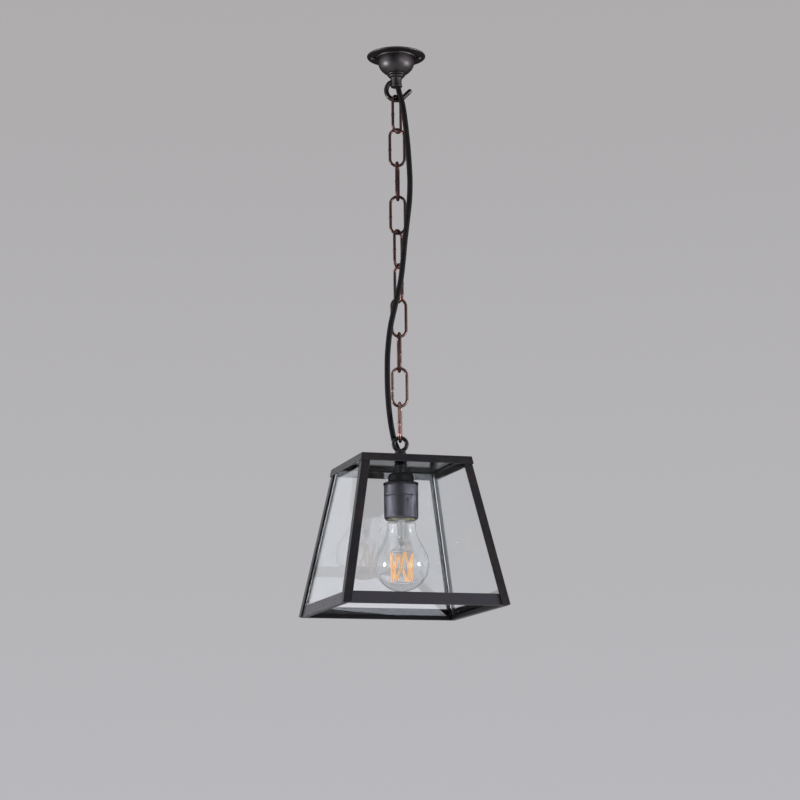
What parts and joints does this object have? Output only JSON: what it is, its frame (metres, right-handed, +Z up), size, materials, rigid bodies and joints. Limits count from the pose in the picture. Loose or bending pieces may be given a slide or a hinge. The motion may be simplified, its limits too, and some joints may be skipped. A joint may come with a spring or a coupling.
{
  "type": "hanging lantern",
  "caption": "Four-sided glass lantern with a dark metal frame, hung by a link chain and hook from a round ceiling plate, with a flex, lampholder and clear filament lamp.",
  "frame": {"origin": "centre of the ceiling plate's upper face, on the ceiling", "axes": "+Z up; the glass box is square to X and Y, with its front pane facing -Y"},
  "size_m": [0.1842, 0.1842, 0.6394],
  "materials": {
    "plate_bronze": "aged gunmetal bronze, glossy",
    "chain_copper": "antique copper plate on steel wire",
    "flex_rubber": "matte charcoal sheath",
    "frame_metal": "dark aged paint, worn towards brown",
    "pane_glass": "clear float glass",
    "plated_steel": "zinc plated",
    "holder_gunmetal": "satin gunmetal",
    "ceramic": "glazed steatite",
    "brass": "plain brass",
    "black_glass": "black insulator",
    "lamp_glass": "clear blown glass",
    "phosphor": "yellow-orange phosphor coat"
  },
  "bodies": {
    "ceiling_fitting": {"ceiling_plate": "plate_bronze", "ceiling_hook": "plate_bronze", "plate_screw_left": "plate_bronze", "plate_screw_right": "plate_bronze", "flex_cable": "flex_rubber"},
    "chain_link_01": {"chain_link_01": "chain_copper"},
    "chain_link_02": {"chain_link_02": "chain_copper"},
    "chain_link_03": {"chain_link_03": "chain_copper"},
    "chain_link_04": {"chain_link_04": "chain_copper"},
    "chain_link_05": {"chain_link_05": "chain_copper"},
    "chain_link_06": {"chain_link_06": "chain_copper"},
    "chain_link_07": {"chain_link_07": "chain_copper"},
    "chain_link_08": {"chain_link_08": "chain_copper"},
    "chain_link_09": {"chain_link_09": "chain_copper"},
    "chain_link_10": {"chain_link_10": "chain_copper"},
    "lantern": {"hanging_loop": "frame_metal", "top_cap": "frame_metal", "corner_post_front_right": "frame_metal", "corner_post_back_right": "frame_metal", "corner_post_back_left": "frame_metal", "corner_post_front_left": "frame_metal", "bottom_rail_right": "frame_metal", "bottom_rail_back": "frame_metal", "bottom_rail_left": "frame_metal", "bottom_rail_front": "frame_metal", "glass_pane_right": "pane_glass", "glass_pane_back": "pane_glass", "glass_pane_left": "pane_glass", "glass_pane_front": "pane_glass", "stem_tube": "plated_steel", "stem_nut": "frame_metal", "spacer_tube": "holder_gunmetal", "lock_nut": "plated_steel", "holder_cap": "frame_metal", "holder_upper_shell": "holder_gunmetal", "holder_skirt": "holder_gunmetal", "holder_grub_screw": "frame_metal", "holder_core": "ceramic", "screw_shell": "brass", "centre_contact": "brass", "live_terminal": "brass", "neutral_terminal": "brass"},
    "bulb": {"bulb_glass": "lamp_glass", "bulb_cap": "brass", "bulb_insulator": "black_glass", "bulb_contact": "brass", "bulb_stem": "lamp_glass", "lead_wire_live": "plated_steel", "lead_wire_neutral": "plated_steel", "led_filament_1": "phosphor", "led_filament_2": "phosphor", "led_filament_3": "phosphor", "led_filament_4": "phosphor", "led_filament_5": "phosphor", "led_filament_6": "phosphor", "led_filament_7": "phosphor", "led_filament_8": "phosphor"}
  },
  "joints": [
    {"name": "hook_swing", "type": "hinge", "parent": "ceiling_fitting", "child": "chain_link_01", "pos_m": [0, 0, -0.0523], "axis": [0.9553, -0.2957, 0], "range_deg": [-30, 30], "deforming": ["flex_cable"]},
    {"name": "link_02_swing", "type": "hinge", "parent": "chain_link_01", "child": "chain_link_02", "pos_m": [0, 0, -0.09067], "axis": [0.7683, 0.6401, 0], "range_deg": [-15, 15]},
    {"name": "link_03_swing", "type": "hinge", "parent": "chain_link_02", "child": "chain_link_03", "pos_m": [0, 0, -0.13014], "axis": [0.9553, -0.2957, 0], "range_deg": [-15, 15]},
    {"name": "link_04_swing", "type": "hinge", "parent": "chain_link_03", "child": "chain_link_04", "pos_m": [0, 0, -0.16961], "axis": [0.4099, 0.9121, 0], "range_deg": [-15, 15]},
    {"name": "link_05_swing", "type": "hinge", "parent": "chain_link_04", "child": "chain_link_05", "pos_m": [0, 0, -0.20908], "axis": [0.9553, -0.2957, 0], "range_deg": [-15, 15]},
    {"name": "link_06_swing", "type": "hinge", "parent": "chain_link_05", "child": "chain_link_06", "pos_m": [0, 0, -0.24855], "axis": [0.7337, 0.6794, 0], "range_deg": [-15, 15]},
    {"name": "link_07_swing", "type": "hinge", "parent": "chain_link_06", "child": "chain_link_07", "pos_m": [0, 0, -0.28802], "axis": [-0.2215, 0.9751, 0], "range_deg": [-15, 15]},
    {"name": "link_08_swing", "type": "hinge", "parent": "chain_link_07", "child": "chain_link_08", "pos_m": [0, 0, -0.32749], "axis": [0.9993, -0.0384, 0], "range_deg": [-15, 15]},
    {"name": "link_09_swing", "type": "hinge", "parent": "chain_link_08", "child": "chain_link_09", "pos_m": [0, 0, -0.36696], "axis": [0.1771, 0.9842, 0], "range_deg": [-15, 15]},
    {"name": "link_10_swing", "type": "hinge", "parent": "chain_link_09", "child": "chain_link_10", "pos_m": [0, 0, -0.40643], "axis": [0.9871, -0.1599, 0], "range_deg": [-15, 15]},
    {"name": "lantern_swing", "type": "hinge", "parent": "chain_link_10", "child": "lantern", "pos_m": [0, 0, -0.4459], "axis": [0.3939, 0.9191, 0], "range_deg": [-25, 25]},
    {"name": "bulb_removal", "type": "slide", "parent": "lantern", "child": "bulb", "axis": [0, 0, -1], "range_m": [0, 0.13]}
  ]
}
